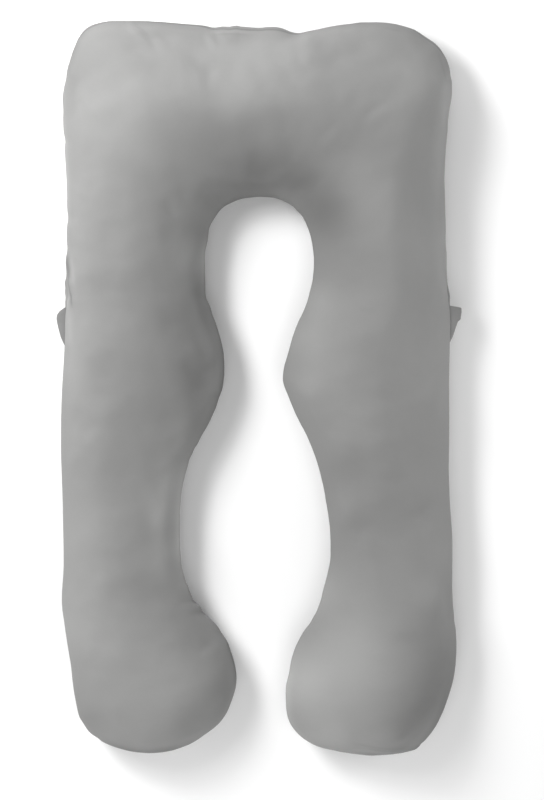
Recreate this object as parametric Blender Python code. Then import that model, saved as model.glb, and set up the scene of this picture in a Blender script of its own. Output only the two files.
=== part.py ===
# A U-shaped full-length body pillow lying on its back: one filled cover of two panels sewn
# together round the outline, and two short tabs of folded tape caught in its outer side seams.
#
# Units are metres, +Z is up and +Y runs from the feet of the U to its head. The origin is on
# the floor, under the middle of the pillow's box.

import math

import bmesh
import bpy
from mathutils import Vector

MM = 0.001

# Straight ribs across the filled tube, from the seam inside the U to the seam on its outer side.
# They run from the tip of the left foot up the left arm, round the head and down the right arm
# to the tip of the right foot. Columns, all in millimetres but the last:
# inner x, inner y, outer x, outer y, crown height of the top panel, and how far the crown leans to
# the outer seam (+) or the inner one (-), as a share of half the rib.
RIBS = (
    # left foot
    (-216, -720, -216, -720, 168, 0.00),
    (-173, -715, -260, -715, 169, -0.02),
    (-137, -702, -303, -700, 170, -0.05),
    (-98, -675, -338, -675, 172, -0.05),
    (-68, -642, -356, -642, 174, -0.05),
    (-48, -592, -366, -596, 176, -0.05),
    (-49, -543, -372, -545, 177, -0.04),
    (-65, -497, -380, -497, 172, -0.03),
    # left arm
    (-108, -444, -387, -444, 163, -0.02),
    (-138, -407, -389, -403, 156, 0.00),
    (-153, -349, -386, -349, 151, 0.00),
    (-158, -270, -387, -270, 150, 0.02),
    (-151, -190, -389, -190, 154, 0.05),
    (-134, -134, -391, -134, 161, 0.08),
    (-98, -63, -391, -63, 172, 0.10),
    (-74, 0, -389, 0, 179, 0.08),
    (-72, 69, -385, 69, 182, 0.06),
    (-90, 139, -384, 139, 180, 0.04),
    # head, from the left arm over both corners
    (-107, 204, -381, 208, 179, 0.02),
    (-107, 265, -380, 293, 181, 0.00),
    (-97, 320, -380, 401, 185, -0.02),
    (-82, 348, -387, 534, 189, -0.03),
    (-71, 359, -378, 632, 190, -0.06),
    (-59, 366, -338, 713, 190, -0.10),
    (-40, 374, -246, 725, 190, -0.13),
    (-19, 378, -127, 717, 190, -0.13),
    (5, 379, -7, 711, 190, -0.08),
    (25, 378, 74, 702, 190, -0.03),
    (46, 372, 169, 718, 190, 0.02),
    (66, 361, 277, 716, 190, 0.08),
    (79, 349, 345, 681, 190, 0.14),
    (91, 330, 377, 624, 190, 0.17),
    (102, 300, 375, 545, 188, 0.18),
    (108, 261, 366, 451, 184, 0.19),
    (108, 225, 367, 328, 180, 0.19),
    (98, 184, 374, 194, 179, 0.17),
    # right arm
    (78, 135, 377, 135, 180, 0.14),
    (59, 75, 375, 75, 182, 0.10),
    (48, 20, 374, 20, 182, 0.07),
    (69, -43, 374, -43, 176, 0.05),
    (98, -102, 374, -102, 167, 0.02),
    (118, -158, 373, -158, 158, 0.00),
    (132, -221, 375, -221, 152, 0.00),
    (141, -296, 380, -296, 150, 0.00),
    (136, -363, 380, -363, 153, 0.00),
    (122, -422, 381, -422, 161, 0.02),
    # right foot
    (90, -478, 387, -478, 170, 0.04),
    (70, -517, 388, -521, 177, 0.06),
    (57, -567, 383, -570, 177, 0.08),
    (53, -616, 370, -616, 176, 0.10),
    (59, -657, 353, -657, 174, 0.10),
    (82, -687, 333, -688, 172, 0.08),
    (118, -710, 309, -711, 170, 0.06),
    (165, -721, 270, -723, 169, 0.05),
    (218, -725, 218, -725, 168, 0.05),
)
RIB_STEPS = 2  # sections for each pair of ribs
SEAM_HEIGHT = 0.084  # of the seam over the floor, all round
FOOT_DOME = 0.125  # length over which a foot swells from its tip to its full thickness
TOP_POINTS = 15  # between the two seam points of a section, over the crown
BOTTOM_POINTS = 13  # the same, under the pillow
CROWN_POWER = 0.95  # of the arch between the two seams; 1 is a parabola
UNDERSIDE_POWER = 2.7  # the underside is squarer than the crown
UNDERSIDE_DEPTH = 1.10  # of the seam height; what would be lower is pressed flat on the floor

# Side tabs. Each row is a place along the seam and how far the fold stands out there, in
# millimetres; the cloth is folded once, with its raw edges at the seam.
LEFT_TAB = ((159, 4), (152, 11), (144, 15.4), (134, 16.4), (119, 14), (101, 9.3), (88, 4))
RIGHT_TAB = ((161, 21), (157, 23.6), (149, 22.5), (136, 19.5), (130, 15), (115, 9.5), (101, 4))
TAPE = 0.0012  # thickness of one layer
TAPE_GAP = 0.0006  # between the two layers
TAB_CLEARANCE = 0.0004  # from the tab's raw edges to the pillow's seam
LEFT_TAB_DROOP = math.radians(24)
RIGHT_TAB_DROOP = math.radians(10)
FOLD_POINTS = 5  # round the outside of the fold


def spline(points, step, count):
    """Point `step` of `count` between the middle two of four points, on a Catmull-Rom curve."""
    before, start, end, after = (Vector(p) for p in points)
    t = step / count
    slope_in = (end - before) / 2
    slope_out = (after - start) / 2
    return (
        start * (2 * t**3 - 3 * t**2 + 1)
        + slope_in * (t**3 - 2 * t**2 + t)
        + end * (3 * t**2 - 2 * t**3)
        + slope_out * (t**3 - t**2)
    )


def swapped(rib):
    """The rib past a foot's tip, where the inner and outer seams run into one another."""
    inner_x, inner_y, outer_x, outer_y, crown, lean = rib
    return (outer_x, outer_y, inner_x, inner_y, crown, -lean)


def stations():
    """Seam points and section sizes along the whole tube, from one foot's tip to the other's."""
    rows = [swapped(RIBS[1]), *RIBS, swapped(RIBS[-2])]
    ribs = []
    for i in range(len(RIBS) - 1):
        for step in range(RIB_STEPS):
            ribs.append(spline(rows[i : i + 4], step, RIB_STEPS))
    ribs.append(Vector(RIBS[-1]))
    tips = (Vector(RIBS[0][:2]), Vector(RIBS[-1][:2]))
    out = []
    for rib in ribs:
        inner = Vector(rib[0:2]) * MM
        outer = Vector(rib[2:4]) * MM
        middle = (inner + outer) / 2
        to_tip = min((middle - tip * MM).length for tip in tips)
        out.append((inner, outer, rib[4] * MM, rib[5], foot_swell(to_tip)))
    return out


def foot_swell(distance):
    """Share of its full thickness that a foot has at a distance from its tip."""
    if distance >= FOOT_DOME:
        return 1.0
    return math.sqrt(1 - (1 - distance / FOOT_DOME) ** 2)


def section(inner, outer, crown, lean, swell):
    """One closed section: over the crown from the inner seam to the outer, and back underneath."""
    top = (crown - SEAM_HEIGHT) * swell
    bottom = SEAM_HEIGHT * UNDERSIDE_DEPTH * swell
    middle = (inner + outer) / 2
    half = (outer - inner) / 2
    ring = []
    for i in range(TOP_POINTS + 1):
        across = -math.cos(math.pi * i / (TOP_POINTS + 1))
        leaning = (across - lean) / (1 - lean * across)
        rise = (1 - leaning**2) ** CROWN_POWER if i else 0.0
        place = middle + half * across
        ring.append((place.x, place.y, SEAM_HEIGHT + top * rise))
    for i in range(BOTTOM_POINTS + 1):
        across = math.cos(math.pi * i / (BOTTOM_POINTS + 1))
        drop = (1 - abs(across) ** UNDERSIDE_POWER) ** (1 / UNDERSIDE_POWER)
        place = middle + half * across
        ring.append((place.x, place.y, max(0.0, SEAM_HEIGHT - bottom * drop)))
    return ring


def material(name, colour, roughness):
    """A plain dull cloth."""
    made = bpy.data.materials.new(name)
    made.use_nodes = True
    shader = made.node_tree.nodes["Principled BSDF"]
    shader.inputs["Base Color"].default_value = (*colour, 1.0)
    shader.inputs["Roughness"].default_value = roughness
    shader.inputs["Metallic"].default_value = 0.0
    return made


def add_object(name, bm, finish, collection):
    """The mesh as a smooth-shaded object with outward faces."""
    bmesh.ops.recalc_face_normals(bm, faces=bm.faces)
    mesh = bpy.data.meshes.new(name)
    bm.to_mesh(mesh)
    bm.free()
    mesh.shade_smooth()
    made = bpy.data.objects.new(name, mesh)
    made.data.materials.append(finish)
    collection.objects.link(made)
    return made


def bridge(bm, rings):
    """Skin between neighbouring closed rings that have as many points as each other."""
    for ring, following in zip(rings, rings[1:]):
        for i in range(len(ring)):
            j = (i + 1) % len(ring)
            bm.faces.new((ring[i], ring[j], following[j], following[i]))


def pillow_body(finish, collection):
    """The filled cover: sections lofted round the U, closed to a point at the tip of each foot."""
    places = stations()
    bm = bmesh.new()
    rings = [[bm.verts.new(p) for p in section(*place)] for place in places[1:-1]]
    bridge(bm, rings)
    for place, ring in ((places[0], rings[0]), (places[-1], rings[-1])):
        tip = bm.verts.new((place[0].x, place[0].y, SEAM_HEIGHT))
        for i in range(len(ring)):
            bm.faces.new((ring[i], ring[(i + 1) % len(ring)], tip))
    return add_object("pillow_body", bm, finish, collection)


def seam_x(side, y):
    """How far out the outer seam lies at a height y, on the straight skin between sections."""
    outer = [place[1] for place in stations() if place[1].x * side > 0 and place[1].y < 0.4]
    for start, end in zip(outer, outer[1:]):
        low, high = sorted((start, end), key=lambda p: p.y)
        if low.y <= y <= high.y:
            return low.x + (high.x - low.x) * (y - low.y) / (high.y - low.y)
    raise ValueError("no seam at this height")


def folded_tape(reach, droop):
    """Section of a folded tape as (out, up) points: its lower layer, the fold and its upper layer."""
    outside = TAPE + TAPE_GAP / 2
    inside = TAPE_GAP / 2
    bend = reach - outside
    points = [(0.0, -outside)]
    for i in range(FOLD_POINTS):
        angle = math.pi * (i / (FOLD_POINTS - 1) - 0.5)
        points.append((bend + outside * math.cos(angle), outside * math.sin(angle)))
    points.append((0.0, outside))
    points.append((0.0, inside))
    for angle in (math.pi / 2, 0.0, -math.pi / 2):
        points.append((bend + inside * math.cos(angle), inside * math.sin(angle)))
    points.append((0.0, -inside))
    return [(out, up - out * math.tan(droop)) for out, up in points]


def side_tab(name, side, rows, droop, finish, collection):
    """A tab of folded tape along the outer seam of one arm, side -1 left and 1 right."""
    bm = bmesh.new()
    rings = []
    for y_mm, reach_mm in rows:
        y = y_mm * MM
        root = seam_x(side, y) + side * TAB_CLEARANCE
        ring = folded_tape(reach_mm * MM, droop)
        rings.append([bm.verts.new((root + side * out, y, SEAM_HEIGHT + up)) for out, up in ring])
    bridge(bm, rings)
    bm.faces.new(rings[0])
    bm.faces.new(rings[-1])
    return add_object(name, bm, finish, collection)


def main():
    for old in list(bpy.data.objects):
        bpy.data.objects.remove(old)
    collection = bpy.data.collections.new("body_pillow")
    bpy.context.scene.collection.children.link(collection)
    cover = material("cover_jersey", (0.33, 0.33, 0.325), 0.9)
    tape = material("tab_tape", (0.25, 0.25, 0.247), 0.85)
    pillow_body(cover, collection)
    side_tab("tab_left", -1, LEFT_TAB, LEFT_TAB_DROOP, tape, collection)
    side_tab("tab_right", 1, RIGHT_TAB, RIGHT_TAB_DROOP, tape, collection)


main()
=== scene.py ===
import math

import bpy
import numpy as np
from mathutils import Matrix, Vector


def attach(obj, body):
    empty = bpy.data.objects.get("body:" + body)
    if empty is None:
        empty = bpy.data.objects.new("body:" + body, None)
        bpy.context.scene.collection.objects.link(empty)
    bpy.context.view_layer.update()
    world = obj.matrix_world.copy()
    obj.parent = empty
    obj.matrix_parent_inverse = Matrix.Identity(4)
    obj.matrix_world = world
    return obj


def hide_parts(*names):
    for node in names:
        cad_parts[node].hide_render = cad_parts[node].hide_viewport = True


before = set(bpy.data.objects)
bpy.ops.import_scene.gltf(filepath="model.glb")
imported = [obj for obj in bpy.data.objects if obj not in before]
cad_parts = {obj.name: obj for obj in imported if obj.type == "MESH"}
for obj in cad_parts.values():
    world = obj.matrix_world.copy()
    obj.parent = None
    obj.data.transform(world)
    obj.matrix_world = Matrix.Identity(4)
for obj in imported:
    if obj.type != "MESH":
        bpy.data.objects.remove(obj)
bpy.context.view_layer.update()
scene = bpy.context.scene
mm = 0.001


class Flow:
    # one output socket of a node tree; sums, differences and products of flows become Math nodes
    def __init__(self, tree, socket=None):
        self.tree = tree
        self.socket = socket

    def node(self, kind, settings=None, sockets=None, out=0):
        made = self.tree.nodes.new(kind)
        for name, value in (settings or {}).items():
            setattr(made, name, value)
        for name, value in (sockets or {}).items():
            self.feed(made.inputs[name], value)
        return Flow(self.tree, made.outputs[out])

    def feed(self, target, value):
        if isinstance(value, Flow):
            self.tree.links.new(value.socket, target)
        else:
            target.default_value = value

    def maths(self, operation, first, second=0.0):
        return self.node("ShaderNodeMath", {"operation": operation}, {0: first, 1: second})

    def apply(self, operation):
        return self.maths(operation, self)

    def __add__(self, other):
        return self.maths("ADD", self, other)

    def __radd__(self, other):
        return self.maths("ADD", other, self)

    def __sub__(self, other):
        return self.maths("SUBTRACT", self, other)

    def __rsub__(self, other):
        return self.maths("SUBTRACT", other, self)

    def __mul__(self, other):
        return self.maths("MULTIPLY", self, other)

    def __rmul__(self, other):
        return self.maths("MULTIPLY", other, self)


def startMaterial(name):
    made = bpy.data.materials.new(name)
    made.use_nodes = True
    shader = made.node_tree.nodes["Principled BSDF"]
    return made, Flow(made.node_tree), shader


def noise(flow, place, scale):
    return flow.node("ShaderNodeTexNoise", None, {"Vector": place, "Scale": scale, "Detail": 2.0})


def attribute(flow, name):
    return flow.node("ShaderNodeAttribute", {"attribute_name": name}, None, "Fac")


def axisOf(flow, vector, letter):
    return flow.node("ShaderNodeSeparateXYZ", None, {"Vector": vector}, letter)


def clothSurface(flow, shader, cloth, tone, threads):
    # a matte cloth in its own shade times a tone, which carries random flecks and mottle and painted
    # light and shade, with the height of its threads as bump
    colour = flow.node("ShaderNodeMix", {"data_type": "RGBA", "clamp_factor": False}, {
        0: tone, 6: (0, 0, 0, 1), 7: (*cloth["shade"], 1)}, 2)  # 6 and 7 are the colours, 2 their mix
    flow.feed(shader.inputs["Base Color"], colour)
    bump = flow.node("ShaderNodeBump", None, {
        "Height": threads, "Strength": 0.6, "Distance": cloth["relief"]})
    flow.feed(shader.inputs["Normal"], bump)
    shader.inputs["Roughness"].default_value = cloth["roughness"]
    shader.inputs["Sheen Weight"].default_value = cloth["sheen"]
    shader.inputs["Specular IOR Level"].default_value = cloth["specular"]


pillow = {
    "stations": 740,  # sections along the U
    "topPoints": 72,  # of a section, over the crown
    "bottomPoints": 60,  # under it
    "crowding": 0.65,  # how much closer the points lie at the seam
    "ribSteps": 24,  # of the smooth curve from one rib to the next
    "arcSteps": 400,  # of the curve on which a section's points are spaced
    "seamHeight": 84 * mm,
    "footDome": 125 * mm,  # from a foot's tip to where it has its full height
    "crownPower": 2.0,  # the crown rises as (1 - across ** power) ** (1 / root)
    "crownRoot": 1.05,
    "undersidePower": 2.7,  # above 2 the underside is squarer than an ellipse
    "undersideDepth": 1.10,  # of the seam's height; what would lie under the floor is pressed flat
    "pressed": 0.05 * mm,  # a point that lies lower than this stays on the floor
    "tipSections": 10,  # over which the detail fades in at each tip
}

# ribs across the tube, from the seam inside the U to the outer seam: inner x, y, outer x, y and crown
# height in millimetres, and how far the filling leans to the outer seam (+) or the inner one
ribRows = (
    # left foot
    (-216, -720, -216, -720, 168, 0.00),
    (-173, -715, -260, -715, 169, -0.02),
    (-137, -702, -303, -701, 170, -0.05),
    (-98, -675, -338, -675, 172, -0.05),
    (-68, -642, -356, -642, 174, -0.05),
    (-48, -592, -366, -596, 176, -0.05),
    (-49, -543, -372, -545, 177, -0.04),
    (-65, -497, -380, -497, 172, -0.03),
    # left arm
    (-108, -444, -387, -444, 163, -0.02),
    (-138, -407, -389, -403, 156, 0.00),
    (-153, -349, -386, -349, 151, 0.00),
    (-158, -270, -387, -270, 150, 0.02),
    (-151, -190, -389, -190, 154, 0.05),
    (-134, -134, -391, -134, 161, 0.08),
    (-98, -63, -391, -63, 172, 0.10),
    (-74, 0, -389, 0, 179, 0.08),
    (-72, 69, -385, 69, 182, 0.06),
    (-90, 139, -384, 139, 180, 0.04),
    # head
    (-107, 204, -381, 208, 179, 0.02),
    (-107, 265, -380, 293, 181, 0.00),
    (-97, 320, -380, 401, 185, -0.02),
    (-82, 348, -387, 534, 189, -0.03),
    (-71, 359, -378, 632, 190, -0.06),
    (-59, 366, -338, 713, 190, -0.10),
    (-40, 374, -246, 725, 190, -0.13),
    (-19, 378, -127, 717, 190, -0.13),
    (5, 379, -7, 711, 190, -0.08),
    (25, 378, 74, 702, 190, -0.03),
    (46, 372, 169, 718, 190, 0.02),
    (66, 361, 277, 716, 190, 0.08),
    (79, 349, 345, 681, 190, 0.14),
    (91, 330, 377, 624, 190, 0.17),
    (102, 300, 375, 545, 188, 0.18),
    (108, 261, 366, 451, 184, 0.19),
    (108, 225, 367, 328, 180, 0.19),
    (98, 184, 374, 194, 179, 0.17),
    # right arm
    (78, 135, 377, 135, 180, 0.14),
    (59, 75, 375, 75, 182, 0.10),
    (48, 20, 374, 20, 182, 0.07),
    (69, -43, 374, -43, 176, 0.05),
    (98, -102, 374, -102, 167, 0.02),
    (118, -158, 373, -158, 158, 0.00),
    (132, -221, 375, -221, 152, 0.00),
    (141, -296, 380, -296, 150, 0.00),
    (136, -363, 380, -363, 153, 0.00),
    (122, -422, 381, -422, 161, 0.02),
    # right foot
    (90, -478, 387, -478, 170, 0.04),
    (70, -517, 388, -521, 177, 0.06),
    (57, -567, 383, -570, 177, 0.08),
    (53, -616, 370, -616, 176, 0.10),
    (59, -657, 353, -657, 174, 0.10),
    (82, -687, 333, -688, 172, 0.08),
    (118, -708, 309, -711, 170, 0.06),
    (165, -718, 270, -721, 169, 0.05),
    (218, -725, 218, -725, 168, 0.05),
)


def smoothRows(rows, steps):
    # a Catmull-Rom curve through the rows, steps points for each pair, with one ghost row at each end
    points = []
    for i in range(1, len(rows) - 2):
        before, start, end, after = rows[i - 1 : i + 3]
        for step in range(steps):
            t = step / steps
            points.append(
                start * (2 * t**3 - 3 * t**2 + 1)
                + (end - before) / 2 * (t**3 - 2 * t**2 + t)
                + end * (3 * t**2 - 2 * t**3)
                + (after - start) / 2 * (t**3 - t**2)
            )
    points.append(rows[-2])
    return np.array(points)


def runningLength(line):
    step = np.diff(line, axis=0)
    return np.concatenate([[0], np.cumsum(np.hypot(step[:, 0], step[:, 1]))])


def spacedRibs(count):
    # the ribs as a smooth table, evenly spaced along the middle of their inner and outer seams
    rows = np.array(ribRows, float)
    rows[:, :5] *= mm
    # past a foot's tip the inner and outer seams change places
    ghosts = rows[[1, -2]][:, [2, 3, 0, 1, 4, 5]] * np.array([1, 1, 1, 1, 1, -1])
    dense = smoothRows(np.vstack([ghosts[0], rows, ghosts[1]]), pillow["ribSteps"])
    step = np.diff(dense, axis=0)
    inner = np.hypot(step[:, 0], step[:, 1])
    outer = np.hypot(step[:, 2], step[:, 3])
    along = np.concatenate([[0], np.cumsum((inner + outer) / 2)])
    even = np.linspace(0, along[-1], count + 2)
    return np.array([np.interp(even, along, column) for column in dense.T]).T


def footSwell(toTip):
    share = np.clip(1 - toTip / pillow["footDome"], 0, 1)
    return np.sqrt(1 - share**2)


def crowded(count):
    # fractions from 0 to 1, closer together at both ends
    even = np.arange(count) / count
    return even - pillow["crowding"] * np.sin(2 * np.pi * even) / (2 * np.pi)


def arcPlaces(across, rise, wanted):
    # the points of a curve at fractions of its length
    length = runningLength(np.column_stack([across, rise]))
    at = wanted * length[-1]
    fromEnd = np.minimum(at, length[-1] - at)
    return np.interp(at, length, across), np.interp(at, length, rise), fromEnd


def buildSections(count, topPoints, bottomPoints):
    # every section of the cover, with each point's distance to its nearest seam along the cloth
    ribs = spacedRibs(count)
    tips = ribs[[0, -1], 0:2]
    across = -np.cos(np.linspace(0, np.pi, pillow["arcSteps"]))
    power = pillow["undersidePower"]
    sections, seamGap = [], []
    for rib in ribs[1:-1]:
        inner, outer, lean = rib[0:2], rib[2:4], rib[5]
        middle, half = (inner + outer) / 2, (outer - inner) / 2
        halfWidth = np.hypot(*half)
        swell = footSwell(np.min(np.hypot(*(tips - middle).T)))
        leaning = (across - lean) / (1 - lean * across)
        rise = (1 - np.abs(leaning) ** pillow["crownPower"]) ** (1 / pillow["crownRoot"])
        rise *= (rib[4] - pillow["seamHeight"]) * swell
        drop = (1 - np.abs(across) ** power) ** (1 / power)
        drop *= pillow["seamHeight"] * pillow["undersideDepth"] * swell
        xTop, zTop, gapTop = arcPlaces(across * halfWidth, rise, crowded(topPoints))
        xLow, zLow, gapLow = arcPlaces(-across * halfWidth, -drop, crowded(bottomPoints))
        place = middle + np.outer(np.concatenate([xTop, xLow]) / halfWidth, half)
        z = np.maximum(pillow["seamHeight"] + np.concatenate([zTop, zLow]), 0)
        sections.append(np.column_stack([place, z]))
        seamGap.append(np.concatenate([gapTop, gapLow]))
    return ribs, np.array(sections), np.array(seamGap)


def gridNormals(points):
    # outward normals of a grid of closed rings
    along = np.gradient(points, axis=0)
    around = np.roll(points, -1, axis=1) - np.roll(points, 1, axis=1)
    normals = np.cross(along, around)
    return normals / np.maximum(np.linalg.norm(normals, axis=2, keepdims=True), 1e-12)


def ringQuads(rows, columns):
    # quads between neighbouring closed rings
    ring = np.arange(columns)
    following = (ring + 1) % columns
    faces = []
    for row in range(rows - 1):
        low, high = row * columns, (row + 1) * columns
        faces += np.column_stack([ring + low, following + low, following + high, ring + high]).tolist()
    return faces


def tubeFaces(rows, columns):
    # a tube of rings, with a fan to a tip at each end
    faces = ringQuads(rows, columns)
    firstTip, lastTip = rows * columns, rows * columns + 1
    lastRing = (rows - 1) * columns
    for i in range(columns):
        j = (i + 1) % columns
        faces.append([j, i, firstTip])
        faces.append([lastRing + i, lastRing + j, lastTip])
    return faces


def makeMesh(name, points, faces):
    mesh = bpy.data.meshes.new(name)
    mesh.from_pydata(np.asarray(points).tolist(), [], faces)
    mesh.update()
    mesh.shade_smooth()
    made = bpy.data.objects.new(name, mesh)
    scene.collection.objects.link(made)
    return made


def tipPoints(ribs):
    return [[*ribs[0, :2], pillow["seamHeight"]], [*ribs[-1, :2], pillow["seamHeight"]]]


# the cloth is blown up against its fixed seam on a coarser copy of the cover
inflation = {
    "stations": 296,
    "topPoints": 36,
    "bottomPoints": 30,
    "frames": 20,
    "cloth": {  # the modifier's settings
        "quality": 4,
        "mass": 0.3,
        "tension_stiffness": 15,
        "compression_stiffness": 15,
        "shear_stiffness": 5,
        "bending_stiffness": 0.3,
        "use_pressure": True,
        "uniform_pressure_force": 0.5,
        "shrink_min": -0.015,  # below 0 the cloth grows
        "vertex_group_mass": "held",
    },
    "onSeam": 0.001 * mm,  # nearer to the seam than this a point is held
    "onFloor": 0.2 * mm,  # and lower than this
    "cap": 18 * mm,  # the furthest that a point may move
    "share": 0.25,  # of the wrinkles that the cover takes over
    "widest": (9, 5),  # sections and points; what is broader than this is left out
    "finest": (1, 1),  # what is narrower than this is smoothed away
}


def inflatedMoves():
    # how far each point of the coarser copy moves when it is blown up
    ribs, sections, seamGap = buildSections(
        inflation["stations"], inflation["topPoints"], inflation["bottomPoints"])
    rows, columns = sections.shape[:2]
    count = rows * columns
    start = np.vstack([sections.reshape(-1, 3), tipPoints(ribs)])
    trial = makeMesh("trial", start, tubeFaces(rows, columns))
    still = (seamGap.reshape(-1) < inflation["onSeam"]) | (start[:count, 2] < inflation["onFloor"])
    held = trial.vertex_groups.new(name="held")
    held.add(np.nonzero(still)[0].tolist() + [count, count + 1], 1.0, "REPLACE")
    cloth = trial.modifiers.new("cloth", "CLOTH")
    for name, value in inflation["cloth"].items():
        setattr(cloth.settings, name, value)
    cloth.settings.effector_weights.gravity = 0
    cloth.collision_settings.use_collision = False
    cloth.point_cache.frame_start = 1
    cloth.point_cache.frame_end = inflation["frames"]
    for step in range(1, inflation["frames"] + 1):
        scene.frame_set(step)
    bpy.context.view_layer.objects.active = trial
    trial.select_set(True)
    bpy.ops.object.modifier_apply(modifier="cloth")
    moved = np.empty(len(start) * 3)
    trial.data.vertices.foreach_get("co", moved)
    scene.frame_set(1)
    bpy.data.objects.remove(trial)
    move = (moved.reshape(-1, 3) - start)[:count].reshape(rows, columns, 3)
    reach = np.linalg.norm(move, axis=2, keepdims=True)
    move *= np.minimum(1, inflation["cap"] / np.maximum(reach, 1e-9))
    print("inflated cloth", "largest move", round(float(reach.max()) * 1000, 1), "mm")
    return move


def blurred(field, span, axis):
    # a soft average over a grid, joined up round the rings and held at the ends of the tube
    window = np.hanning(2 * span + 3)[1:-1]
    window /= window.sum()
    pad = [(0, 0)] * field.ndim
    pad[axis] = (span, span)
    padded = np.pad(field, pad, mode="wrap" if axis == 1 else "edge")
    total = np.zeros_like(field)
    for k, weight in enumerate(window):
        cut = [slice(None)] * field.ndim
        cut[axis] = slice(k, k + field.shape[axis])
        total += weight * padded[tuple(cut)]
    return total


def resampled(field, count, axis):
    # cubic interpolation of a grid to another number of rows, or of points round its rings
    size = field.shape[axis]
    if axis == 1:
        at = np.arange(count) * size / count
    else:
        at = np.linspace(0, size - 1, count)
    low = np.floor(at).astype(int)
    t = at - low
    shape = [1] * field.ndim
    shape[axis] = count
    total = 0
    weights = (-t**3 + 2 * t**2 - t, 3 * t**3 - 5 * t**2 + 2, -3 * t**3 + 4 * t**2 + t, t**3 - t**2)
    for offset, weight in zip((-1, 0, 1, 2), weights):
        place = low + offset
        place = place % size if axis == 1 else np.clip(place, 0, size - 1)
        total = total + np.take(field, place, axis=axis) * (weight / 2).reshape(shape)
    return total


def inflatedWrinkles(rows, columns):
    # the moves of the coarser copy without their broad swell, on the finer grid
    fine, broad = inflation["finest"], inflation["widest"]
    wrinkles = inflatedMoves()
    wrinkles = blurred(blurred(wrinkles, fine[0], 0), fine[1], 1)
    wrinkles = wrinkles - blurred(blurred(wrinkles, broad[0], 0), broad[1], 1)
    return resampled(resampled(wrinkles, rows, 0), columns, 1)


def near(distance, reach):
    # 1 at the place itself, fading out over the reach
    return np.exp(-((distance / reach) ** 2))


def bumps(marks, places):
    # sum of soft bumps: each mark is x, y, height, reach, in millimetres
    total = np.zeros(places.shape[:-1])
    for x, y, height, reach in marks:
        total += height * near(np.hypot(places[..., 0] - x * mm, places[..., 1] - y * mm), reach * mm)
    return total


def wander(at, spacing, rng):
    # a smooth random line through knots that lie unevenly, about spacing apart
    knots = [0.0]
    while knots[-1] < at.max() + 4 * spacing:
        knots.append(knots[-1] + spacing * rng.uniform(0.6, 1.4))
    heights = rng.uniform(-1, 1, len(knots))
    place = np.clip(np.searchsorted(knots, at) - 1, 0, len(knots) - 2)
    knots = np.array(knots)
    t = (at - knots[place]) / (knots[place + 1] - knots[place])
    t = t * t * (3 - 2 * t)
    return heights[place] * (1 - t) + heights[place + 1] * t


def waves(points, length, count, rng):
    # soft unevenness in space, of about the given wavelength
    total = np.zeros(points.shape[:-1])
    for k in range(count):
        direction = rng.normal(size=3)
        direction /= np.linalg.norm(direction)
        turns = points @ direction / (length * rng.uniform(0.75, 1.35))
        total += np.cos(2 * np.pi * (turns + rng.uniform()))
    return total / math.sqrt(count / 2)


seam = {
    "depth": 1.5,  # in millimetres
    "width": 5 * mm,
    "swell": 1.8 * mm,  # of the cloth beside it
    "swellReach": 16 * mm,
    "lift": -2.5,  # of the stitched line over the widest line, in millimetres along the cloth
    "paintedGrooveShade": 0.8,  # of the shade on the stitched line: painted shade of the seam's groove
    "lineReach": (0.6 * mm, 4.0 * mm),  # how far from it that tone starts to fade, and where it ends
    "paintedRimReach": 13 * mm,  # of the painted shade (darker) or painted light (lighter) on the rim beside it
    "tautReach": 45 * mm,  # beside it the cloth is too taut for wrinkles
    "firmReach": 35 * mm,  # beside it the filling has no humps
}
# where the stitched line lies higher on the cloth: x, y, more lift, reach, in millimetres
seamLifts = (
    (-40, 716, 11, 85), (50, 706, 7, 45), (376, 150, 4, 60), (375, 185, 4, 24), (-380, 125, 3, 45),
    (-378, 185, 8, 28), (254, -719, 12, 60), (-52, -540, 4, 45), (340, 690, 8, 50), (-330, 715, 6, 50),
    (-110, -735, 6, 60), (-190, 722, 4, 70), (200, 716, 4, 70),
)
# where the seam is drawn in more: x, y, more depth, reach, in millimetres
seamDepths = (
    (-40, 712, 0.9, 90), (-380, 190, 2.2, 30), (374, 190, 0.8, 40), (254, -719, 1.0, 60),
    (-52, -540, 0.8, 45), (-200, -722, 0.8, 80),
)
# where the rim beside the seam has painted shade (+, darker) or painted light (-, lighter): x, y,
# percent, reach in millimetres
paintedRimShading = (
    (-200, 722, 24, 110), (0, 712, 8, 90), (200, 716, 20, 110), (345, 680, -3, 55), (-358, 662, 24, 60),
    (-105, 250, -38, 60), (-158, -200, -26, 60), (-158, -300, -28, 60), (-60, -600, -14, 60),
    (58, -620, -26, 70), (330, -680, 14, 50), (362, -600, 8, 60), (-382, 425, -26, 105),
)
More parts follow.
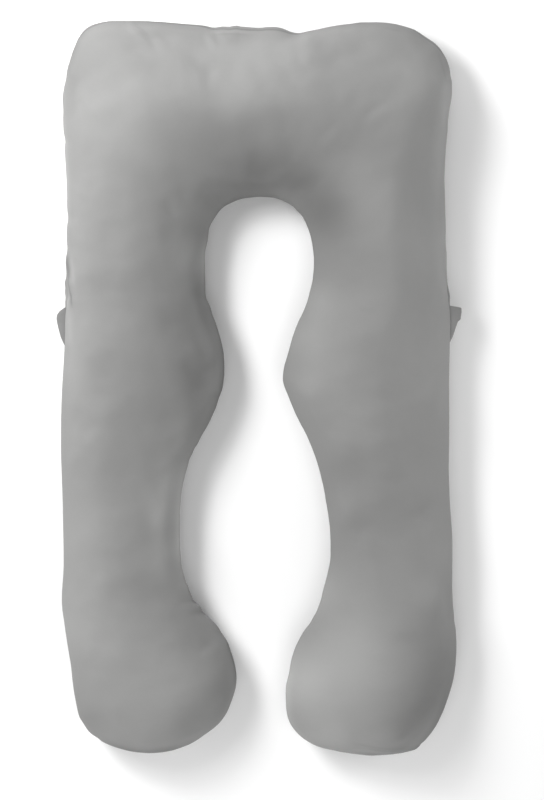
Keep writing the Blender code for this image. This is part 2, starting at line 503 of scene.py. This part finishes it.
# where the outline is fuller (+) or drawn in (-): x, y, push, reach, in millimetres
outlineMarks = (
    # head
    (33, 705, 6.5, 19), (50, 700, 2.0, 10), (-46, 714, 2.2, 9), (-92, 714, -3.6, 15), (14, 711, 1.5, 9),
    (238, 719, 2.4, 40), (198, 720, 1.4, 12), (-320, 717, -1.6, 18), (80, 702, -1.8, 12),
    (-58, 714, -1.4, 9), (326, 694, -1.7, 17),
    # right side, down to the foot
    (378, 618, -2.0, 8), (378, 577, 2.2, 16), (374, 533, -3.0, 20), (366, 415, -1.2, 20),
    (372, 228, -2.4, 38), (370, 290, -1.6, 20), (375, 182, 1.0, 10), (322, -703, -2.0, 6),
    (304, -714, 2.0, 9), (272, -722, -2.8, 10), (384, -460, -1.2, 10),
    # left side
    (-386, 573, 2.2, 16), (-383, 611, -1.6, 9), (-387, 490, -3.2, 11), (-381, 250, 1.8, 14),
    (-382, 206, 3.6, 11), (-383, 190, 2.2, 7), (-381, 336, -2.4, 14), (-381, 275, -1.6, 12),
    (-389, -425, 1.0, 24), (-355, -648, 1.4, 14), (-320, -690, -2.0, 9), (-345, -662, -1.0, 10),
    (-330, -680, 1.0, 14), (-312, -700, 1.2, 8),
    # inside, from the left foot to the right one
    (-75, -484, -2.2, 9), (-108, -448, -7.5, 12), (-62, -522, -3.6, 26), (-85, -668, 3.4, 22),
    (-126, -424, -4.5, 7), (-144, -396, 2.2, 9), (-64, -642, 1.6, 16), (-137, -409, 1.4, 6),
    (-127, -120, -3.0, 8), (-118, -95, -1.6, 20), (-80, -22, -1.8, 12), (-104, 184, -3.4, 18),
    (-102, 316, -2.4, 14), (-107, 265, -2.0, 18), (-94, 146, -2.4, 12), (-138, -138, -2.6, 14),
    (-156, -215, -1.6, 50), (-156, -325, -1.6, 30), (-152, -351, -2.0, 18), (-70, -493, -1.6, 12),
    (76, 352, 1.8, 9), (84, 150, -3.0, 18), (-102, 172, -2.4, 16), (93, 172, -1.8, 14),
    (139, -340, -1.6, 20), (109, -448, -2.0, 16), (58, -565, -1.8, 18), (109, 232, 1.2, 18),
    (48, 8, 1.6, 16), (129, -399, 2.6, 22), (98, -466, -3.6, 11), (138, -712, -4.6, 14),
    (52, -590, 1.2, 20),
)
# how far from the seam a mark of the outline reaches, in millimetres
outlineDepth = {"least": 6, "forEachReach": 2, "most": 38}
puckers = {
    "height": 0.28,  # all round, in millimetres
    "spacing": 15 * mm,
    "length": 30 * mm,
    "shared": 0.6,  # by the two panels
    "own": 0.5,  # to each panel
    "ownSpacing": 0.8,  # of the shared one
    "lengthChange": 0.45,
    "changeSpacing": 70 * mm,
    "stitchHold": 0.75,  # how much lower they are on the stitched line
    "stitchReach": 3 * mm,
    "seed": 11,
}
# where the puckers square to the seam are higher: x, y, height, reach, in millimetres
puckerMarks = (
    (-20, 714, 0.75, 150), (-250, 724, 0.5, 70), (-370, 640, 0.5, 70), (345, 680, 0.55, 80),
    (0, 380, 0.25, 90), (-75, 10, 0.3, 60), (50, 10, 0.35, 60), (-380, 190, 0.9, 45),
    (374, 190, 0.5, 50), (-70, -480, 0.4, 60), (60, -600, 0.3, 70), (-200, -720, 0.4, 90),
    (240, -722, 0.5, 80), (374, -620, 0.3, 60),
)
# soft creases in the top: from x, y to x, y, depth (- is a ridge), width, bow, in millimetres
creases = (
    (-262, 722, -226, 692, -2.7, 6.5, 2), (-226, 704, -196, 672, 0.7, 8, 3),
    (-206, 684, -178, 664, -1.8, 9, 0), (-100, 704, -82, 664, -1.6, 7, 2),
    (-94, 640, -98, 570, 1.0, 11, 3), (-46, 660, -42, 580, 0.5, 14, -2), (0, 672, -6, 590, 0.5, 15, 2),
    (80, 698, 86, 620, 1.4, 13, 5), (62, 652, 120, 606, 1.0, 12, 6), (196, 520, 256, 548, 1.4, 9, -5),
    (108, 486, 150, 512, 1.2, 10, 4), (146, 704, 176, 690, -1.0, 6, 0),
    (330, 632, 352, 596, 1.2, 10, 3), (-352, 568, -356, 530, 1.6, 12, 2),
    (-372, 610, -356, 590, 1.2, 9, 0), (-330, 440, -300, 420, 1.0, 12, 4),
    (-176, 372, -164, 330, 1.3, 11, 3), (-377, 225, -370, 156, 2.6, 3.4, 1.5),
    (-360, 232, -358, 160, -1.0, 8, 0), (374, 198, 366, 160, 1.2, 7, 1),
    (-150, 60, -100, 20, 1.2, 13, 6), (-330, 30, -280, 14, 0.9, 14, 5), (120, 96, 80, 60, 1.1, 12, 5),
    (-130, -410, -166, -440, 0.6, 9, 3), (-84, -500, -120, -520, 1.0, 9, 3),
    (150, -420, 190, -452, 1.0, 13, 5), (300, -690, 250, -700, 1.1, 9, -4),
    (-300, -650, -262, -676, 1.0, 12, 4), (330, -250, 290, -262, 0.9, 14, 4),
    (110, -210, 140, -196, 0.9, 10, 0), (346, -560, 352, -610, 1.0, 12, 3),
)
creaseShape = {
    "halfRun": 0.42,  # of its run, to each side of its middle, before it fades out
    "shoulderAt": 1.9,  # low ridges on both sides, in widths from the crease
    "shoulderWidth": 1.2,
    "shoulderHeight": 0.4,  # of the crease's depth
}
# where the filling stands higher (+) or lower: x, y, height, reach, in millimetres
fillingMarks = (
    # head
    (-150, 500, 9, 70), (-20, 520, 10, 75), (-190, 690, -6, 45), (-110, 690, -9, 45),
    (-20, 695, -14, 45), (-350, 590, -14, 70), (-260, 620, -5, 70), (85, 690, 10, 25), (80, 640, 6, 40),
    (265, 690, -7, 60), (200, 660, -5, 60), (345, 585, 9, 55), (350, 500, 10, 40), (25, 420, -5, 35),
    (40, 690, -8, 30), (85, 370, -10, 45), (150, 300, -14, 60), (-345, 340, 9, 60), (-362, 380, 6, 35),
    # left arm and foot
    (-355, 75, 10, 50), (-340, 230, 5, 60), (-365, 220, 6, 35), (-105, 25, -8, 50), (-150, 0, -6, 55),
    (-230, -70, -5, 60), (-365, -20, 7, 35), (-160, -260, 24, 45), (-170, -360, 9, 40),
    (-280, -190, -7, 80), (-95, -490, -5, 45), (-200, -490, -4, 50), (-95, -575, 8, 50),
    (-150, -640, 6, 40),
    # right arm and foot
    (210, 230, -5, 60), (80, -10, 9, 35), (355, -15, 11, 35), (150, -240, 20, 40), (150, -130, 7, 35),
    (290, -260, -11, 70), (110, -480, -9, 60), (165, -460, -12, 60), (290, -620, 15, 70),
    (280, -690, 10, 40), (345, -430, 13, 45),
)
# soft patches of painted light (+, lighter) and painted shade (-, darker) on the cover, for shading that
# the shape and the lamps don't give: x, y, percent, reach in millimetres
paintedShadingPatches = (
    # head
    (-10, 620, 9, 85), (350, 598, 27, 70), (-215, 455, 14, 42), (200, 562, 7, 50), (-86, 515, -9, 52),
    (110, 660, -6, 58), (-35, 430, -16, 65), (60, 408, -15, 55), (124, 348, -30, 57),
    (248, 445, -11, 66), (-300, 380, -7, 60), (-132, 260, 32, 39), (-112, 335, 18, 30),
    (334, 455, 9, 66),
    # left arm and foot
    (-362, 200, 6, 35), (-298, 195, -10, 70), (-268, 60, -8, 80), (-368, 45, 10, 45),
    (-164, 136, -18, 50), (-120, 22, -16, 45), (-292, -15, -7, 50), (-150, -112, 16, 38),
    (-168, -180, 25, 43), (-167, -248, 40, 40), (-166, -312, 38, 40), (-168, -375, 22, 38),
    (-216, -262, -10, 42), (-222, -385, -8, 58), (-142, -462, -11, 60), (-68, -560, 9, 32),
    (-366, -300, 8, 70), (-364, -470, 18, 65), (-190, -575, 15, 65), (-205, -670, 9, 50),
    (-141, -668, -8, 35), (-335, -650, -8, 35),
    # right arm and foot
    (216, 240, -15, 76), (110, 172, 20, 38), (88, 100, 20, 42), (96, 5, 10, 38), (215, 70, -9, 60),
    (318, 280, 8, 58), (300, 55, 6, 65), (180, -165, -15, 64), (196, -302, -9, 60), (368, -330, 8, 45),
    (113, -400, 25, 48), (72, -575, 44, 62), (176, -532, 26, 90), (128, -690, 20, 52),
    (212, -700, 10, 42), (350, -535, -9, 45), (342, -618, -15, 58),
)
# thin folds painted into the colour only, as painted shade (-) or painted light (+): from x, y to x, y,
# percent, width, bow
paintedFoldShades = (
    (-377, 266, -375, 206, -34, 3.6, 0), (-375, 218, -369, 156, -34, 3.4, 1.5),
    (-369, 262, -363, 196, 10, 4, 0), (-379, 214, -378, 150, 24, 3.6, 0),
    (-376, 160, -374, 80, 18, 9, 0), (371, 236, 376, 158, -16, 3, 0),
    (180, -694, 300, -708, -8, 2.6, 4), (200, -704, 296, -714, -8, 2.2, 3),
    (-50, -590, -52, -545, -7, 3, 1), (-108, 704, -18, 700, 7, 2.0, 0), (-96, 699, -4, 695, -7, 2.4, 0),
    (244, 708, 280, 701, -7, 2, 0), (350, 664, 366, 599, -8, 2.4, -2),
    (359, 671, 371, 628, -7, 2.0, -2), (190, 156, 228, 148, -3, 5, 2),
    (-310, -700, -130, -700, -40, 11, 19), (100, -700, 320, -705, -17, 9, 22),
)
unevenness = {
    "sizes": ((150, 1.3), (62, 0.42), (30, 0.13)),  # wavelength and height, in millimetres
    "waves": 26,  # in each size
}


def besideFold(places, row):
    # a fold runs from x, y to x, y: its share of full strength at each place, and widths away from it
    start, end = np.array(row[0:2]) * mm, np.array(row[2:4]) * mm
    width, bow = row[5] * mm, row[6] * mm
    run = end - start
    length = np.hypot(*run)
    offset = places - start
    t = offset @ run / length**2
    away = (offset[..., 0] * run[1] - offset[..., 1] * run[0]) / length
    away = away - bow * np.sin(np.pi * np.clip(t, 0, 1))
    return np.exp(-(((t - 0.5) / creaseShape["halfRun"]) ** 4)), away / width


def creaseRise(places, row):
    # a soft groove between two low shoulders
    share, away = besideFold(places, row)
    shoulders = near(np.abs(away) - creaseShape["shoulderAt"], creaseShape["shoulderWidth"])
    return -row[4] * mm * share * (near(away, 1) - creaseShape["shoulderHeight"] * shoulders)


# the painted shade or painted light of one thin fold, as a share of the colour
def paintedFoldShade(places, row):
    share, away = besideFold(places, row)
    return row[4] / 100 * share * near(away, 1)


def outlinePush(seamPlace, gap):
    # a short mark also reaches less far from the seam
    total = np.zeros(gap.shape)
    for x, y, push, reach in outlineMarks:
        away = np.hypot(seamPlace[..., 0] - x * mm, seamPlace[..., 1] - y * mm)
        depth = outlineDepth["least"] + outlineDepth["forEachReach"] * reach
        depth = min(outlineDepth["most"], depth) * mm
        total += push * mm * np.exp(-((away / (reach * mm)) ** 2) - (gap / depth) ** 2)
    return total


def nearestSeam(ribs, topPoints, bottomPoints):
    # the inner seam is point 0 of a ring, the outer seam the first point of the lower panel
    ring = np.arange(topPoints + bottomPoints)
    isTop = ring < topPoints
    isOuter = np.where(isTop, ring > topPoints / 2, ring < topPoints + bottomPoints / 2)
    inner, outer = ribs[1:-1, 0:2], ribs[1:-1, 2:4]
    half = outer - inner
    half = half / np.linalg.norm(half, axis=1, keepdims=True)
    seamPlace = np.where(isOuter[None, :, None], outer[:, None], inner[:, None])
    outwards = np.where(isOuter[None, :, None], half[:, None], -half[:, None])
    return isTop, isOuter, seamPlace, outwards


def puckerRise(lines, isTop, isOuter, seamPlace, fromStitches, rng):
    # puckers wander along both seams, partly the same in the two panels
    rise = np.zeros_like(fromStitches)
    hold = 1 - puckers["stitchHold"] * np.exp(-fromStitches / puckers["stitchReach"])
    for line, chosen in zip(lines, (~isOuter, isOuter)):
        shared = wander(line, puckers["spacing"], rng)
        for panel in (isTop, ~isTop):
            own = wander(line, puckers["spacing"] * puckers["ownSpacing"], rng)
            height = puckers["shared"] * shared + puckers["own"] * own
            change = wander(line, puckers["changeSpacing"], rng)
            reach = puckers["length"] * (1 + puckers["lengthChange"] * change)
            fade = np.exp(-fromStitches / reach[:, None]) * hold
            cut = chosen & panel
            rise[:, cut] += (height[:, None] * fade)[:, cut]
    return rise * ((puckers["height"] + bumps(puckerMarks, seamPlace)) * mm)


def detailedCover():
    # the finished sections and tips, the fields for the material, and the length along the tube
    topPoints, bottomPoints = pillow["topPoints"], pillow["bottomPoints"]
    ribs, points, gap = buildSections(pillow["stations"], topPoints, bottomPoints)
    rows, columns = points.shape[:2]
    normals = gridNormals(points)
    onFloor = points[..., 2] < pillow["pressed"]
    plan = points[..., :2]
    isTop, isOuter, seamPlace, outwards = nearestSeam(ribs, topPoints, bottomPoints)
    # near the tips of the feet the seam also passes at the end of the tube
    gap = np.minimum(gap, 1.25 * np.abs(points[..., 2] - pillow["seamHeight"]) + 0.3 * gap)
    lift = (seam["lift"] + bumps(seamLifts, seamPlace)) * mm
    fromStitches = np.abs(gap * np.where(isTop, 1.0, -1.0) - lift)

    # what stands out along the cloth's normal
    rng = np.random.default_rng(puckers["seed"])
    lines = [runningLength(ribs[1:-1, 0:2]), runningLength(ribs[1:-1, 2:4])]
    rise = puckerRise(lines, isTop, isOuter, seamPlace, fromStitches, rng)
    fromEdge = 1 - near(gap, seam["tautReach"])
    for length, height in unevenness["sizes"]:
        rise += fromEdge * height * mm * waves(points, length * mm, unevenness["waves"], rng)
    for row in creases:
        rise += np.where(isTop, creaseRise(plan, row), 0)
    rise += seam["swell"] * near(gap, seam["swellReach"])
    rise -= (seam["depth"] + bumps(seamDepths, seamPlace)) * mm * np.exp(-fromStitches / seam["width"])

    # the whole move of each point, with the outline's bulges and the filling's humps
    move = rise[..., None] * normals
    move[..., :2] += outlinePush(seamPlace, gap)[..., None] * outwards
    move += inflation["share"] * fromEdge[..., None] * inflatedWrinkles(rows, columns)
    fromTip = np.minimum(np.arange(rows), np.arange(rows)[::-1])
    move *= np.clip(fromTip / pillow["tipSections"], 0, 1)[:, None, None]
    filling = bumps(fillingMarks, plan) * mm * (1 - near(gap, seam["firmReach"]))
    move[..., 2] += np.where(isTop, filling, 0)
    finished = points + move
    finished[..., 2] = np.where(onFloor, 0, np.maximum(finished[..., 2], 0))

    # the cover's tone, darker or lighter than its shade: painted light and painted shade from the
    # patches, the rim and the folds
    paintedRim = bumps(paintedRimShading, seamPlace) / 100 * near(gap, seam["paintedRimReach"])
    tone = (1 + bumps(paintedShadingPatches, plan) / 100) * (1 - paintedRim)
    for row in paintedFoldShades:
        tone = tone * (1 + np.where(isTop, paintedFoldShade(plan, row), 0))
    tipLift = (seam["lift"] + bumps(seamLifts, ribs[[0, -1], :2])) * mm
    fields = {
        "fromStitches": np.append(fromStitches.ravel(), np.abs(tipLift)),
        "tone": np.append(tone.ravel(), [tone[0].mean(), tone[-1].mean()]),
    }
    return finished, tipPoints(ribs), fields, (lines[0] + lines[1]) / 2


def buildPillow():
    sections, tips, fields, along = detailedCover()
    rows, columns = sections.shape[:2]
    points = np.vstack([sections.reshape(-1, 3), tips])
    made = makeMesh("pillowCover", points, tubeFaces(rows, columns))
    mesh = made.data
    # cloth coordinates in metres: across the tube and along it
    step = np.linalg.norm(np.diff(sections, axis=1, append=sections[:, :1]), axis=2)
    across = np.cumsum(step, axis=1) - step
    across -= across[:, [pillow["topPoints"] // 2]]
    corners = np.empty(len(mesh.loops), int)
    mesh.loops.foreach_get("vertex_index", corners)
    row, column = np.divmod(np.minimum(corners, rows * columns - 1), columns)
    flat = np.column_stack([across[row, column], along[row]])
    mesh.uv_layers.new(name="cloth").data.foreach_set("uv", flat.astype(np.float32).ravel())
    for name, values in fields.items():
        layer = mesh.attributes.new(name, "FLOAT", "POINT")
        layer.data.foreach_set("value", values.astype(np.float32))
    print("cover", len(mesh.polygons), "faces")
    return made


jersey = {
    "shade": (0.22, 0.22, 0.217),
    "roughness": 0.92,
    "sheen": 0.12,
    "specular": 0.15,
    "wale": 1.1 * mm,
    "course": 0.9 * mm,
    "slant": 3.8,  # of a loop's arms, in radians of a course
    "loops": 0.35,  # height of the loops, of the relief
    "ribs": 0.65,  # and of the ribs that they form
    "relief": 0.05 * mm,
    "mottle": ((9.0, 0.05), (150.0, 0.03)),  # scale of the noise and its strength
}


def jerseyFinish():
    made, flow, shader = startMaterial("coverJersey")
    place = flow.node("ShaderNodeTexCoord", out="Object")
    cloth = flow.node("ShaderNodeUVMap", {"uv_map": "cloth"})
    across, along = axisOf(flow, cloth, "X"), axisOf(flow, cloth, "Y")
    # knitted ribs of small slanting loops
    wale = (across * (1 / jersey["wale"])).apply("FRACT") - 0.5
    arm = wale.apply("ABSOLUTE") * 2.0
    course = along * (2 * math.pi / jersey["course"]) + arm * jersey["slant"]
    knit = course.apply("SINE") * jersey["loops"] - arm * arm * jersey["ribs"]
    tone = 1 - sum(strength for scale, strength in jersey["mottle"]) / 2
    for scale, strength in jersey["mottle"]:
        tone = tone + noise(flow, place, scale) * strength
    # a darker stitched line, painted shade of the groove at the seam
    start, end = seam["lineReach"]
    line = flow.node("ShaderNodeMapRange", {"interpolation_type": "SMOOTHSTEP"}, {
        "Value": attribute(flow, "fromStitches"),
        "From Min": start, "From Max": end, "To Min": seam["paintedGrooveShade"], "To Max": 1.0})
    # the tone attribute carries the painted shading patches, the painted rim shade and the painted fold
    # shades
    clothSurface(flow, shader, jersey, tone * line * attribute(flow, "tone"), knit)
    return made


tape = {
    "thickness": 1.3 * mm,
    "gap": 0.7 * mm,
    "tucked": 5 * mm,  # into the seam
    "belly": 0.5 * mm,  # of both layers, half way out
    "sway": 0.9 * mm,  # of the fold, up and down
    "swayRings": 5.5,  # rings for each radian of it
    "swayFrom": 12 * mm,  # how far out from the seam it is full
    "rings": 60,
    "flatPoints": 11,  # of a layer
    "foldPoints": 9,  # round the fold
    "seamSpan": (-100 * mm, 350 * mm),  # y of the stretch of the outer seam that holds the tabs
    "shade": (0.19, 0.19, 0.188),
    "roughness": 0.85,
    "sheen": 0.1,
    "specular": 0.2,
    "twill": 1.6 * mm,
    "thread": 0.7 * mm,
    "threadHeight": 0.4,  # of the twill's
    "relief": 0.08 * mm,
    "fleck": (400.0, 0.14),  # scale of the noise and its strength
}
# droop of the fold in degrees, tone at the seam and at the fold (painted shade and light: the left tab
# darker at the seam,
# the right tab lighter at the seam and darker at the fold), size laid flat in metres, and a profile:
# y along the seam and how far the fold stands out there, in millimetres
sideTabs = (
    {
        "name": "tabLeft",
        "node": "tab_left",
        "side": -1,
        "droop": 24,
        "tone": (0.86, 0.98),
        "flat": (0.071, 0.035),
        "profile": (
            (160, 0.8), (157, 5), (152, 12), (145, 17), (137, 17.6), (128, 16), (119, 13.8),
            (101, 8.6), (92, 4.5), (85, 0.8),
        ),
    },
    {
        "name": "tabRight",
        "node": "tab_right",
        "side": 1,
        "droop": 10,
        "tone": (1.28, 0.92),
        "flat": (0.060, 0.048),
        "profile": (
            (163, 0.8), (161.5, 10), (160, 20), (158.5, 23), (150, 22.8), (136, 20.5), (131, 15),
            (121, 11.5), (101, 5.5), (91, 1.0),
        ),
    },
)


def foldSection(reach, droop):
    # the outside of a folded tape from its lower root round the fold, and back along the inside
    root = -tape["tucked"]
    inner = tape["gap"] / 2
    outer = tape["thickness"] + inner
    bend = reach - outer
    turn = np.linspace(-np.pi / 2, np.pi / 2, tape["foldPoints"])
    layer = root + (bend - root) * np.linspace(0, 1, tape["flatPoints"], endpoint=False)
    loops = []
    for radius in (outer, inner):
        level = np.full(tape["flatPoints"], radius)
        out = np.concatenate([layer, bend + radius * np.cos(turn), layer[::-1]])
        up = np.concatenate([-level, radius * np.sin(turn), level])
        up += np.sign(up) * tape["belly"] * np.sin(np.pi * np.clip((out - root) / (reach - root), 0, 1))
        loops.append(np.column_stack([out, up - np.maximum(out, 0) * math.tan(math.radians(droop))]))
    return np.vstack([loops[0], loops[1][::-1]])


def outerSeam(ribs, side, y):
    # x of the outer seam of one arm at the heights y
    line = ribs[ribs[:, 2] * side > 0][:, 2:4]
    lowest, highest = tape["seamSpan"]
    line = line[(line[:, 1] > lowest) & (line[:, 1] < highest)]
    line = line[np.argsort(line[:, 1])]
    return np.interp(y, line[:, 1], line[:, 0])


def buildTab(row, ribs):
    profile = np.array(row["profile"]) * mm
    y = np.linspace(profile[0, 0], profile[-1, 0], tape["rings"])
    reach = np.interp(y, profile[::-1, 0], profile[::-1, 1])
    atSeam = outerSeam(ribs, row["side"], y)
    rings = []
    for k in range(tape["rings"]):
        out, up = foldSection(reach[k], row["droop"]).T
        sway = tape["sway"] * math.sin(k / tape["swayRings"]) * np.clip(out / tape["swayFrom"], 0, 1)
        x = atSeam[k] + row["side"] * out
        rings.append(np.column_stack([x, np.full(len(out), y[k]), pillow["seamHeight"] + up + sway]))
    count = len(rings[0])
    points = np.vstack(rings)
    faces = ringQuads(len(rings), count)
    for start in (0, (len(rings) - 1) * count):
        # an end is closed by quads between its outside and its inside
        for i in range(count // 2 - 1):
            far = start + count - 1 - i
            faces.append([start + i, start + i + 1, far - 1, far])
    made = makeMesh(row["name"], points, faces)
    bpy.context.view_layer.objects.active = made
    made.select_set(True)
    bpy.ops.object.mode_set(mode="EDIT")
    bpy.ops.mesh.select_all(action="SELECT")
    bpy.ops.mesh.normals_make_consistent(inside=False)
    bpy.ops.object.mode_set(mode="OBJECT")
    # painted shade and light along the tab, from its tone at the seam to its tone at the fold
    beyond = np.abs(points[:, 0]) - np.repeat(np.abs(atSeam), count)
    tones = np.interp(beyond, [0, profile[:, 1].max()], row["tone"])
    layer = made.data.attributes.new("tone", "FLOAT", "POINT")
    layer.data.foreach_set("value", tones.astype(np.float32))
    return made


def tapeFinish():
    made, flow, shader = startMaterial("tabTape")
    place = flow.node("ShaderNodeTexCoord", out="Object")
    x, y = axisOf(flow, place, "X"), axisOf(flow, place, "Y")
    twill = ((x + y) * (2 * math.pi / tape["twill"])).apply("SINE")
    threads = ((x - y) * (2 * math.pi / tape["thread"])).apply("SINE")
    scale, strength = tape["fleck"]
    # the tone attribute is painted shade and light on the tab; the flecks are random
    tone = (1 - strength / 2 + noise(flow, place, scale) * strength) * attribute(flow, "tone")
    clothSurface(flow, shader, tape, tone, twill + threads * tape["threadHeight"])
    return made


floorPaint = {"shade": 0.9, "size": 40}  # size in metres
viewCamera = {
    "centre": (0.0247, -0.0234),
    "height": 4.5,  # over the seam
    "span": 1.58,  # of floor seen from top to bottom at the seam's height
    "sensor": 36,  # in millimetres
}
# place and width in metres, power in watts; all look at the middle of the floor
lamps = (
    {"name": "key", "place": (-1.58, 1.42, 2.12), "size": 1.1, "power": 52.5},
    {"name": "keyHigh", "place": (-1.44, 0.77, 2.52), "size": 1.0, "power": 25},
    {"name": "above", "place": (0.3, -0.85, 2.6), "size": 2.0, "power": 21},
    {"name": "headLeft", "place": (-1.5, 1.2, 0.35), "size": 0.6, "power": 7.5},
    {"name": "headSide", "place": (-0.8, 1.6, 0.35), "size": 0.6, "power": 8},
    {"name": "headMiddle", "place": (0.0, 1.6, 0.35), "size": 0.6, "power": 2.6},
    {"name": "leftSide", "place": (-1.5, -0.6, 0.35), "size": 0.6, "power": 3.2},
    {"name": "rightSide", "place": (1.4, 0.1, 0.3), "size": 0.6, "power": 7.0},
    {"name": "footSide", "place": (0.0, -1.7, 0.35), "size": 0.6, "power": 4.6},
    {"name": "footLeft", "place": (-0.8, -1.6, 0.35), "size": 0.6, "power": 2.0},
)
skyStrength = 0.3


def addFloor():
    bpy.ops.mesh.primitive_plane_add(size=floorPaint["size"])
    floor = bpy.context.object
    floor.name = "floor"
    made, flow, shader = startMaterial("floorPaint")
    shader.inputs["Base Color"].default_value = (*[floorPaint["shade"]] * 3, 1)
    shader.inputs["Roughness"].default_value = 1.0
    shader.inputs["Specular IOR Level"].default_value = 0.0
    floor.data.materials.append(made)


def addCamera():
    data = bpy.data.cameras.new("camera")
    data.sensor_width = viewCamera["sensor"]
    data.lens = viewCamera["sensor"] * viewCamera["height"] / viewCamera["span"]
    camera = bpy.data.objects.new("camera", data)
    camera.location = (*viewCamera["centre"], pillow["seamHeight"] + viewCamera["height"])
    scene.collection.objects.link(camera)
    scene.camera = camera


def addLamps():
    for lamp in lamps:
        data = bpy.data.lights.new(lamp["name"], "AREA")
        data.shape = "DISK"
        data.size = lamp["size"]
        data.energy = lamp["power"]
        made = bpy.data.objects.new(lamp["name"], data)
        made.location = lamp["place"]
        made.rotation_mode = "QUATERNION"
        made.rotation_quaternion = Vector(lamp["place"]).to_track_quat("Z", "Y")
        made.visible_camera = False
        scene.collection.objects.link(made)
    world = bpy.data.worlds.new("studio")
    scene.world = world
    world.use_nodes = True
    sky = world.node_tree.nodes["Background"]
    sky.inputs["Color"].default_value = (1, 1, 1, 1)
    sky.inputs["Strength"].default_value = skyStrength


addCamera()
cover = buildPillow()
cover.data.materials.append(jerseyFinish())
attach(cover, "root")
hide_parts("pillow_body")

tapeCloth = tapeFinish()
allRibs = spacedRibs(pillow["stations"])
for row in sideTabs:
    tab = buildTab(row, allRibs)
    tab.data.materials.append(tapeCloth)
    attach(tab, "root")
    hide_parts(row["node"])
print("side tabs", len(sideTabs))

addFloor()
addLamps()
scene.view_settings.view_transform = "Standard"
print("floor and", len(lamps), "lamps")
